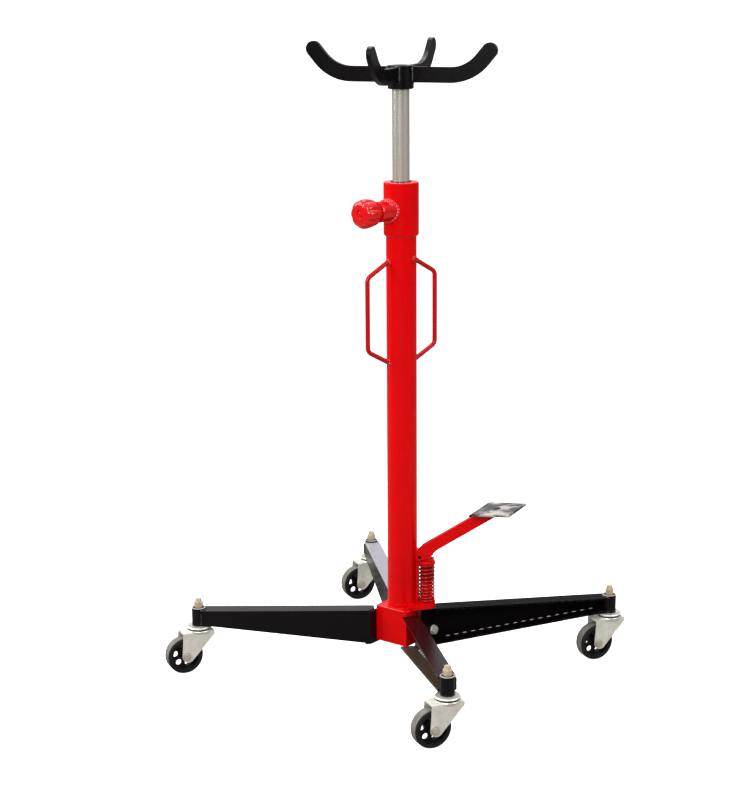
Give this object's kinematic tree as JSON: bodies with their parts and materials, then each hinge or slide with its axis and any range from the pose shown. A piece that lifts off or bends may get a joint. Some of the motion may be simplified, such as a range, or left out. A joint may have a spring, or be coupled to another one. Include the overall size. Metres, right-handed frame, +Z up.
{
  "type": "transmission jack",
  "caption": "Tall hydraulic transmission jack on a four-legged swivel-caster base, with a foot pump, a release valve knob, carrying handles and a four-arm saddle on a chromed ram.",
  "frame": {"origin": "on the column's axis at floor level, under the ram", "axes": "+Z up along the ram; the front leg points to -Y and the right leg to +X"},
  "size_m": [0.946, 0.9024, 1.2594],
  "materials": {
    "red_paint": "gloss enamel",
    "black_paint": "satin enamel",
    "hard_chrome": "ground and hard chromed",
    "zinc_plate": "dull zinc plate",
    "yellow_zinc": "yellow passivated zinc",
    "bare_steel": "machined",
    "seal_rubber": "matte",
    "wheel_core": "moulded nylon",
    "wheel_tyre": "moulded rubber"
  },
  "bodies": {
    "base": {"base_hub": "red_paint", "foot_valve_block": "bare_steel", "column_tube": "red_paint", "column_collar": "red_paint", "lift_cylinder": "bare_steel", "gland_nut": "bare_steel", "rod_wiper": "seal_rubber", "oil_filler_plug": "zinc_plate", "carry_handle_front": "red_paint", "carry_handle_rear": "red_paint", "leg_right": "black_paint", "leg_left": "black_paint", "leg_front": "black_paint", "leg_rear": "black_paint", "leg_bolts": "zinc_plate", "stem_sockets": "black_paint", "stem_nuts": "yellow_zinc", "caster_stems": "zinc_plate", "valve_housing": "red_paint", "pump_block": "red_paint", "pump_cylinder": "red_paint", "pedal_bracket": "red_paint", "return_spring": "red_paint"},
    "ram": {"ram_rod": "hard_chrome", "ram_piston": "bare_steel", "piston_seal": "seal_rubber", "piston_nut": "bare_steel"},
    "saddle": {"saddle_hub": "black_paint", "saddle_arm_right": "black_paint", "saddle_arm_rear": "black_paint", "saddle_arm_left": "black_paint", "saddle_arm_front": "black_paint", "saddle_setscrew": "black_paint"},
    "knob": {"release_knob": "red_paint", "valve_spindle": "bare_steel"},
    "pedal": {"pedal_lever": "red_paint", "foot_pad": "black_paint", "pedal_pivot_pin": "zinc_plate", "lever_roller_pin": "zinc_plate", "lever_roller": "zinc_plate"},
    "plunger": {"pump_plunger": "bare_steel", "plunger_cap": "red_paint"},
    "caster_right": {"caster_fork_right": "zinc_plate", "caster_axle_right": "zinc_plate"},
    "wheel_right": {"wheel_core_right": "wheel_core", "wheel_tyre_right": "wheel_tyre"},
    "caster_left": {"caster_fork_left": "zinc_plate", "caster_axle_left": "zinc_plate"},
    "wheel_left": {"wheel_core_left": "wheel_core", "wheel_tyre_left": "wheel_tyre"},
    "caster_front": {"caster_fork_front": "zinc_plate", "caster_axle_front": "zinc_plate"},
    "wheel_front": {"wheel_core_front": "wheel_core", "wheel_tyre_front": "wheel_tyre"},
    "caster_rear": {"caster_fork_rear": "zinc_plate", "caster_axle_rear": "zinc_plate"},
    "wheel_rear": {"wheel_core_rear": "wheel_core", "wheel_tyre_rear": "wheel_tyre"}
  },
  "joints": [
    {"name": "ram_lift", "type": "slide", "parent": "base", "child": "ram", "axis": [0, 0, 1], "range_m": [-0.17, 0.58]},
    {"name": "saddle_swivel", "type": "hinge", "parent": "ram", "child": "saddle", "pos_m": [0, 0, 1.18], "axis": [0, 0, 1], "continuous": true},
    {"name": "release_knob_turn", "type": "hinge", "parent": "base", "child": "knob", "pos_m": [-0.05056, -0.04242, 0.938], "axis": [-0.766, -0.6428, 0], "range_deg": [0, 270]},
    {"name": "pedal_press", "type": "hinge", "parent": "base", "child": "pedal", "pos_m": [0.03709, -0.01498, 0.2334], "axis": [0.3746, 0.9272, 0], "range_deg": [0, 32], "stiffness_Nm_per_rad": 20, "springref_deg": -17.19},
    {"name": "plunger_stroke", "type": "slide", "parent": "base", "child": "plunger", "axis": [0, 0, -1], "range_m": [0, 0.01], "deforming": ["return_spring"]},
    {"name": "caster_swivel_right", "type": "hinge", "parent": "base", "child": "caster_right", "pos_m": [0.428, 0, 0.0875], "axis": [0, 0, 1], "continuous": true},
    {"name": "wheel_spin_right", "type": "hinge", "parent": "caster_right", "child": "wheel_right", "pos_m": [0.39624, -0.01156, 0.0375], "axis": [-0.342, 0.9397, 0], "continuous": true},
    {"name": "caster_swivel_left", "type": "hinge", "parent": "base", "child": "caster_left", "pos_m": [-0.416, 0, 0.0875], "axis": [0, 0, 1], "continuous": true},
    {"name": "wheel_spin_left", "type": "hinge", "parent": "caster_left", "child": "wheel_left", "pos_m": [-0.44776, -0.01156, 0.0375], "axis": [-0.342, 0.9397, 0], "continuous": true},
    {"name": "caster_swivel_front", "type": "hinge", "parent": "base", "child": "caster_front", "pos_m": [0.04447, -0.42024, 0.0875], "axis": [0, 0, 1], "continuous": true},
    {"name": "wheel_spin_front", "type": "hinge", "parent": "caster_front", "child": "wheel_front", "pos_m": [0.0127, -0.4318, 0.0375], "axis": [-0.342, 0.9397, 0], "continuous": true},
    {"name": "caster_swivel_rear", "type": "hinge", "parent": "base", "child": "caster_rear", "pos_m": [-0.03247, 0.42024, 0.0875], "axis": [0, 0, 1], "continuous": true},
    {"name": "wheel_spin_rear", "type": "hinge", "parent": "caster_rear", "child": "wheel_rear", "pos_m": [-0.06423, 0.40868, 0.0375], "axis": [-0.342, 0.9397, 0], "continuous": true}
  ],
  "couplings": [
    {"joint": "plunger_stroke", "follows": "pedal_press", "m_per_rad": 0.0169}
  ]
}
